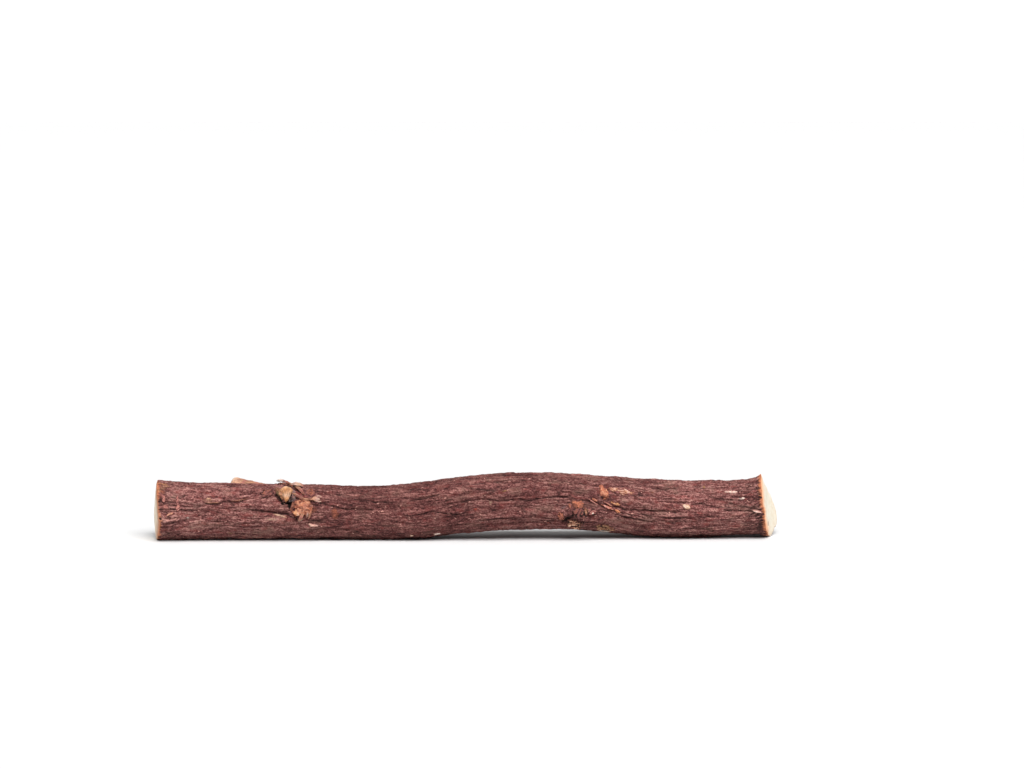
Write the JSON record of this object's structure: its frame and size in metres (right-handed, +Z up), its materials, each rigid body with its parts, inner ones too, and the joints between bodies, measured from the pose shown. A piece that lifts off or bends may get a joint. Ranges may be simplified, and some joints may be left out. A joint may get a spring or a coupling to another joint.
{
  "type": "licorice root",
  "caption": "Cut stick of dried licorice root with wrinkled bark, torn side-root scars, a short side-root stub and pale cut ends, lying on its side.",
  "frame": {"origin": "under the middle of the whole root's bounding box, on the surface that the root lies on", "axes": "+X along the root to its flared, more slanted cut end, +Z up from the resting surface, -Y toward the side with the two torn knots"},
  "size_m": [0.1616, 0.0168, 0.0171],
  "materials": {
    "root_bark": "dry wrinkled red-brown bark, matte, with pale cream wood at the cut ends"
  },
  "bodies": {
    "root": {"licorice_root": "root_bark"}
  },
  "joints": []
}
